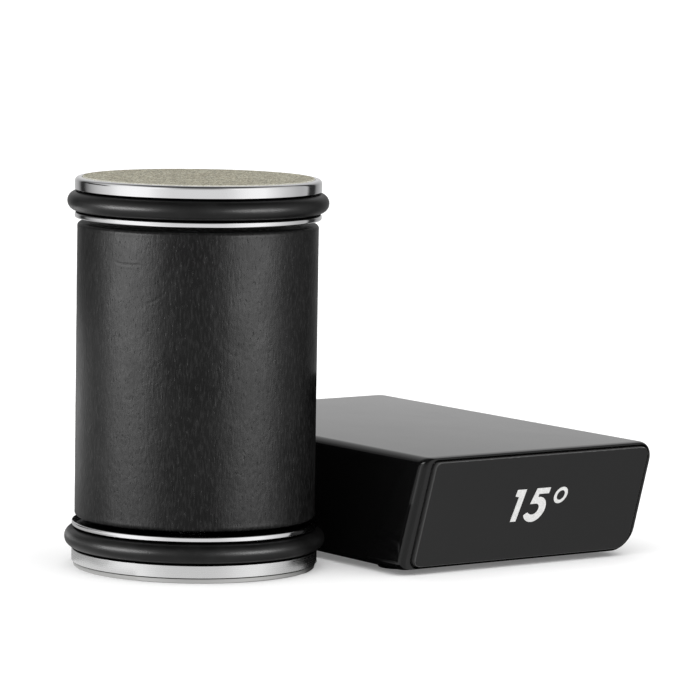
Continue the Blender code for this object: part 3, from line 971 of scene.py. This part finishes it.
# A plate stands proud of the case's end, and sits a little to one side in its rebate
def buildPlate(node, material, atFront):
    its = blockShape
    edge, side, level = its["plateEdge"], its["plateSide"] + its["plateTrim"], its["plateLevel"]
    outer = its["plateSetBack"] - its["plateStandOut"]
    stations = [
        (outer + edge * inward, side + edge * left, level + edge * left)
        for inward, left in quarterRound(its["plateSegments"])
    ]
    stations.append((its["plateDepth"], side, level))
    if not atFront:
        stations = fromFarEnd(stations)
    _, firstSide, firstLevel = stations[0]
    bm = drawOut(leaningOutline(firstSide, firstLevel, its["plateRadii"]), stations)
    shiftX, shiftZ = its["plateShift"]
    moved(bm, shiftX, 0, shiftZ)
    bm.normal_update()
    # The sides and the bevel take the rim's painted highlight
    for face in bm.faces:
        if abs(face.normal.y) < its["plateRimFrom"]:
            face.material_index = 1
    plate = makeObject("frontPanel" if atFront else "rearPanel", toBlock(bm), material)
    plate.data.materials.append(finishes["plateRimHighlight"])
    return seat(plate, "angle_block", [node])


# The plain number on the front plate, drawn upright and then slanted

markShape = {
    "baseline": 10.80 * mm,
    "height": 7.5 * mm,
    "slant": 0.45,
    "shift": 0.16 * mm,
    "oneStem": (33.40 * mm, 35.02 * mm),
    "oneFlag": (1.10 * mm, 1.55 * mm, 1.75 * mm),
    "fiveLeft": 37.78 * mm,
    "fiveLean": (0.42 * mm, -0.18 * mm),
    "fiveBar": (4.45 * mm, 1.38 * mm),
    "fiveStem": 1.55 * mm,
    # The 5 from its eye out to its bowl: centre, radii, first and last angle, steps
    "fiveArcs": (
        ((1.62 * mm, 2.60 * mm), (1.28 * mm, 1.28 * mm), 90, -90, 14),
        ((1.62 * mm, 2.60 * mm), (1.92 * mm, 1.28 * mm), -105, -150, 4),
        ((2.00 * mm, 2.50 * mm), (3.30 * mm, 2.92 * mm), -156, -90, 10),
        ((2.00 * mm, 2.50 * mm), (2.92 * mm, 2.92 * mm), -84, 98, 24),
    ),
    "ringCentre": (46.13 * mm, 5.45 * mm),
    "ringRadii": (1.92 * mm, 1.12 * mm),
    "ringSegments": 48,
    "thickness": 0.07 * mm,
}


def oneOutline():
    its = markShape
    left, right = its["oneStem"]
    flag, flagHeight, flagFoot = its["oneFlag"]
    top = its["height"]
    return [
        (left, 0), (right, 0), (right, top), (left - flag, top), (left - flag, top - flagHeight),
        (left, top - flagFoot),
    ]


def fiveOutline():
    its = markShape
    top, (barWidth, barHeight) = its["height"], its["fiveBar"]
    leanTop, leanFoot = its["fiveLean"]
    arcs = [point for arc in its["fiveArcs"] for point in arcPoints(*arc)]
    points = [(leanTop, top), (leanFoot, arcs[0][1]), *arcs]
    points += [(its["fiveStem"], top - barHeight), (barWidth, top - barHeight), (barWidth, top)]
    return [(x + its["fiveLeft"], z) for x, z in points]


# Thin as a print: the plate is set back by a little more, so that the mark is inside the block's length
def buildMark(material):
    its = markShape
    bm = bmesh.new()
    for outline in (oneOutline(), fiveOutline()):
        bm.faces.new([bm.verts.new((x, 0, z)) for x, z in outline])
    ringX, ringZ = its["ringCentre"]
    upright = Matrix.Translation((ringX, 0, ringZ)) @ Matrix.Rotation(math.pi / 2, 4, "X")
    loops = []
    for radius in its["ringRadii"]:
        verts = bmesh.ops.create_circle(bm, segments=its["ringSegments"], radius=radius)["verts"]
        bmesh.ops.transform(bm, matrix=upright, verts=verts)
        loops += [e for e in bm.edges if all(v in verts for v in e.verts)]
    bmesh.ops.bridge_loops(bm, edges=loops)
    made = bmesh.ops.extrude_face_region(bm, geom=bm.faces[:])["geom"]
    back = [g for g in made if isinstance(g, bmesh.types.BMVert)]
    bmesh.ops.translate(bm, verts=back, vec=(0, its["thickness"], 0))
    startX = blockX + its["shift"] - its["slant"] * its["height"] / 2
    place = Matrix.Translation((startX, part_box("front_plate")[0].y, its["baseline"]))
    bmesh.ops.transform(bm, matrix=place @ leanMatrix(its["slant"]), verts=bm.verts)
    return seat(makeObject("angleMark", bm, material), "angle_block")


# The rest of the frame's nodes keep their shape and get their finish

hiddenFinishes = {
    "darkSteel": ("axle", "spacer", "screw", "keeper"),
    "bearingSteel": ("outer_ring", "inner_ring", "ball"),
    "cageBrass": ("cage",),
    "magnetMetal": ("magnet",),
}


def finishHiddenNodes(replaced):
    for name, node in frame["nodes"].items():
        if name in replaced:
            continue
        kind = next(kind for kind, words in hiddenFinishes.items() if any(word in name for word in words))
        node.data.materials.clear()
        node.data.materials.append(finishes[kind])


# Stage: a wide pale floor, a camera at the photograph's place, and studio light from a painted sky

stageSettings = {
    "floorHalf": 14.0,
    "floorCells": 8,
    "floorDrop": 0.02 * mm,
    "floorColour": (0.90, 0.90, 0.90),
    "floorGlow": 0.16,
    "floorSpeck": 2.0,
    "speckLight": 1.01,
    "dullness": 0.9,
    "cardColour": (0.004, 0.004, 0.004),
    "cameraPlace": (-0.59296, -0.89606, 0.16806),
    "cameraYaw": 35.420,
    "cameraPitch": 6.184,
    "cameraRoll": 0.926,
    "lens": 235.949,
    "sensor": 36.0,
    "clip": (0.05, 100.0),
}
cameraX, cameraY, _ = stageSettings["cameraPlace"]
cameraSide = math.atan2(cameraY, cameraX)  # where the camera stands, as an angle about Z

# Light by its bearing from the camera's side of the object, in degrees, positive to the camera's right.
# Upright metal mirrors the low ring, the high ring is the panels above it, and the ceiling stays dark.
skySettings = {
    "lowRing": (
        (-180, 0.62), (-151, 0.35), (-145, 0.18), (-141, 0.03), (-133, 0.03), (-128, 0.17),
        (-120, 0.33), (-112, 0.46), (-104, 0.57), (-90, 0.73), (-80, 0.92), (-70, 0.98), (-60, 1.00),
        (-48, 0.95), (-38, 0.80), (-24, 0.69), (24, 0.69), (32, 0.75), (40, 0.86), (50, 0.94),
        (64, 0.96), (72, 0.82), (88, 0.62), (104, 0.47), (112, 0.42), (121, 0.46), (126, 0.03),
        (138, 0.03), (143, 0.24), (152, 0.37), (180, 0.62),
    ),
    "highRing": (
        (-180, 0.62), (-150, 0.48), (-138, 0.20), (-126, 0.30), (-112, 0.46), (-100, 0.62), (-88, 0.80),
        (-76, 0.96), (-40, 0.96), (-26, 0.56), (-14, 0.42), (14, 0.42), (26, 0.56), (38, 0.96), (70, 0.96),
        (84, 0.70), (96, 0.56), (116, 0.42), (126, 0.05), (138, 0.06), (144, 0.50), (180, 0.62),
    ),
    "strength": 1.08,
    "ceiling": 0.06,
    "highFrom": (0.22, 0.50),
    "ceilingFrom": (0.64, 0.90),
    # A dark panel in the sky, with a soft border
    "flag": {"bearing": -112, "halfWidth": 22, "height": 0.20, "halfHeight": 0.12, "soft": 0.6},
}
# Straight light for the floor and the grit, which the metal does not mirror
sunSettings = {"power": 2.6, "angle": 110.0}


# Softboxes near the object: bearing from the camera's side, distance and height, size, and watts
softboxes = {
    "leftSoftbox": {"bearing": -65, "place": (0.60, 0.09), "size": (0.50, 0.18), "power": 5.8},
    "rightSoftbox": {"bearing": 53, "place": (0.60, 0.09), "size": (0.46, 0.18), "power": 4.9},
    "lowBounce": {"bearing": -128, "place": (0.16, 0.02), "size": (0.14, 0.04), "power": 0.018},
}
softboxAim = Vector((0, 0, 0.07))
# Two small ones between the roller and the block, for the round edge of the block's near left end
edgeLights = {
    "edgeLight": {"place": (28 * mm, -35 * mm, 29 * mm), "size": (8 * mm, 20 * mm), "power": 0.00034},
    "cornerLight": {"place": (28 * mm, -35 * mm, 45 * mm), "size": (8 * mm, 12 * mm), "power": 0.00140},
}


def areaLight(name, place, aim, settings, receivers):
    data = bpy.data.lights.new(name, "AREA")
    data.shape = "RECTANGLE"
    data.size, data.size_y = settings["size"]
    data.energy = settings["power"]
    light = addObject(name, data)
    look = (aim - place).to_track_quat("-Z", "Y").to_matrix().to_4x4()
    light.matrix_world = Matrix.Translation(place) @ look
    lit = bpy.data.collections.new(name + "Receivers")
    for piece in receivers:
        lit.objects.link(piece)
    light.light_linking.receiver_collection = lit


# They light the wood and the rubber only, and the steel doesn't mirror them
def buildSoftboxes(receivers):
    for name, box in softboxes.items():
        turn = cameraSide + math.radians(box["bearing"])
        distance, height = box["place"]
        place = Vector((math.cos(turn) * distance, math.sin(turn) * distance, height))
        areaLight(name, place, softboxAim, box, receivers)


def buildEdgeLights(case):
    for name, settings in edgeLights.items():
        place = Vector(settings["place"])
        areaLight(name, place, place + Vector((1, 0, 0)), settings, [case])


# A dull material that also glows white
def dullGlow(name, colour, glow):
    material, tree, shader = newMaterial(name, colour, stageSettings["dullness"], specular=0.0)
    shader.inputs["Emission Color"].default_value = (1.0, 1.0, 1.0, 1.0)
    shader.inputs["Emission Strength"].default_value = glow
    return material, tree, shader


def buildFloor():
    its = stageSettings
    bm, cells = bmesh.new(), its["floorCells"]
    bmesh.ops.create_grid(bm, x_segments=cells, y_segments=cells, size=its["floorHalf"])
    moved(bm, 0, 0, -its["floorDrop"])
    material, tree, shader = dullGlow("paleFloor", its["floorColour"], its["floorGlow"])
    speck = noiseValue(tree, its["floorSpeck"], detail=1.0)
    light = tuple(its["speckLight"] * c for c in its["floorColour"])
    link(shader, "Base Color", blendColour(tree, speck, its["floorColour"], light))
    floor = makeObject("paleFloor", bm, material)
    floor.visible_glossy = False


# Cards seen only in reflections: the shaded floor by the block, the pale floor behind and left of the
# roller, and a black card upright in the gap between the roller and the block, a painted shade for that
# gap.
# Each has its reach along X, Y and Z in millimetres, and its glow.
onFloor = (-0.015, -0.005)
cards = {
    "shadeCard": ((27, 108), (-39, 76), onFloor, 0.0),
    "nearShadeCard": ((6, 27), (-24, 76), onFloor, 0.0),
    "paleCard": ((-75, 6), (20, 360), onFloor, 0.44),
    "farPaleCard": ((6, 170), (76, 360), onFloor, 0.44),
    "leftPaleCard": ((-75, -38), (6, 20), onFloor, 0.52),
    "nearPaleCard": ((-38, -12), (-14, 20), onFloor, 0.78),
    "gapShadeCard": ((30.95, 31.05), (-24, 150), (0.1, 45), 0.0),
}


def buildCard(name):
    *reaches, glow = cards[name]
    size = [(high - low) * mm for low, high in reaches]
    centre = [(low + high) / 2 * mm for low, high in reaches]
    material, _, _ = dullGlow(name, stageSettings["cardColour"], glow)
    card = makeObject(name, boxMesh(size, centre), material)
    card.visible_camera = card.visible_diffuse = card.visible_shadow = False


def buildCamera():
    its = stageSettings
    data = bpy.data.cameras.new("photoCamera")
    data.lens = its["lens"]
    data.sensor_width = its["sensor"]
    data.clip_start, data.clip_end = its["clip"]
    camera = addObject("photoCamera", data)
    yaw = Matrix.Rotation(math.radians(-its["cameraYaw"]), 4, "Z")
    pitch = Matrix.Rotation(math.radians(90 - its["cameraPitch"]), 4, "X")
    roll = Matrix.Rotation(math.radians(its["cameraRoll"]), 4, "Z")
    camera.matrix_world = Matrix.Translation(its["cameraPlace"]) @ yaw @ pitch @ roll
    scene.camera = camera


# A colour ramp over the whole turn, from (degrees, value) stops; a new ramp has its two ends
def ringLight(tree, share, stops):
    ramp = addNode(tree, "ValToRGB", Fac=share)
    elements = ramp.color_ramp.elements
    for angle, _ in stops[1:-1]:
        elements.new((angle + 180) / 360)
    for element, (_, value) in zip(elements, stops):
        element.color = (value, value, value, 1.0)
    return ramp.outputs["Color"]


# How far a value is from a middle, as a share of a half width
def farFrom(tree, value, middle, half):
    gap = compute(tree, "ABSOLUTE", compute(tree, "SUBTRACT", value, middle))
    return compute(tree, "DIVIDE", gap, half)


def buildSky():
    its = skySettings
    world = bpy.data.worlds.new("studioSky")
    scene.world = world
    world.use_nodes = True
    tree = world.node_tree
    way = addNode(tree, "TexCoord").outputs["Generated"]
    axes = addNode(tree, "SeparateXYZ", Vector=way).outputs
    turned = compute(tree, "SUBTRACT", compute(tree, "ARCTAN2", axes["Y"], axes["X"]), cameraSide)
    turned = compute(tree, "DIVIDE", turned, 2 * math.pi)
    share = compute(tree, "FRACT", compute(tree, "ADD", turned, 1.5))  # 0 and 1 lie behind the object
    low, high = ringLight(tree, share, its["lowRing"]), ringLight(tree, share, its["highRing"])
    light = blendColour(tree, remap(tree, axes["Z"], its["highFrom"]), low, high)
    top = (its["ceiling"],) * 3
    light = blendColour(tree, remap(tree, axes["Z"], its["ceilingFrom"]), light, top)
    flag = its["flag"]
    across = farFrom(tree, share, (flag["bearing"] + 180) / 360, flag["halfWidth"] / 360)
    upright = farFrom(tree, axes["Z"], flag["height"], flag["halfHeight"])
    outside = remap(tree, compute(tree, "MAXIMUM", across, upright), (flag["soft"], 1.0))
    light = blendColour(tree, outside, (0.0, 0.0, 0.0), light)
    tree.links.new(light, tree.nodes["Background"].inputs["Color"])
    tree.nodes["Background"].inputs["Strength"].default_value = its["strength"]
    scene.view_settings.view_transform = "Standard"


def buildSun():
    data = bpy.data.lights.new("floorLight", "SUN")
    data.energy = sunSettings["power"]
    data.angle = math.radians(sunSettings["angle"])
    addObject("floorLight", data).visible_glossy = False


buildCamera()
buildSky()
buildSun()
buildFloor()
for cardName in cards:
    buildCard(cardName)
print("stage, camera and light are set")

lowerPlace = Matrix.Translation((0, 0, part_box("lower_wheel")[0].z))
upperPlace = Matrix.Translation((0, 0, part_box("upper_wheel")[1].z)) @ Matrix.Rotation(math.pi, 4, "X")
finishes = {
    "wood": makePaintedWood(),
    "rubber": makeRubber("ringRubber", rubberFinish["ringRoughness"]),
    "footRubber": makeRubber("footRubber", rubberFinish["footRoughness"]),
    "grit": makeGrit(),
    "gritEdge": makeGritEdge(),
    "block": makeBlockBlack(),
    "plate": makePlateBlack(),
    "plateRimHighlight": makePlateRimHighlight(caseHigh.z - blockShape["plateLevel"] + blockShape["plateShift"][1]),
    "mark": makeMarkWhite(),
    **{kind: makeTurnedSteel(kind) for kind in steelFinishes},
    **{name: makePlainMetal(name) for name in plainMetals},
}
print("finishes are made")

barrel = buildBarrel(finishes["wood"])
print("barrel is turned")
spigotRoom = honingDiscShape["spigot"] + wheelShape["discGap"]
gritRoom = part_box("diamond_disc")[1].x + wheelShape["discGap"]
buildWheel("lower", finishes["brushed"], spigotRoom, wheelShape["edgeRound"], lowerPlace)
buildWheel("upper", finishes["polished"], gritRoom, wheelShape["rimRound"], upperPlace)
lowerRing = buildRing("lower", finishes["rubber"], lowerPlace)
upperRing = buildRing("upper", finishes["rubber"], upperPlace)
buildGritDisc(finishes["grit"])
buildHoningDisc(finishes["honing"])
buildSoftboxes([barrel, lowerRing, upperRing])
print("wheels, rubber rings and discs are turned")

buildEdgeLights(buildCase(finishes["block"]))
buildPlate("front_plate", finishes["plate"], True)
buildPlate("rear_plate", finishes["plate"], False)
for footNode in footNodes:
    buildFoot(footNode, finishes["footRubber"])
buildMark(finishes["mark"])
print("angle block is built")

replacedNodes = {
    "barrel", "lower_wheel", "upper_wheel", "lower_rubber_ring", "upper_rubber_ring",
    "diamond_disc", "honing_disc", "block_case", "front_plate", "rear_plate", *footNodes,
}
finishHiddenNodes(replacedNodes)
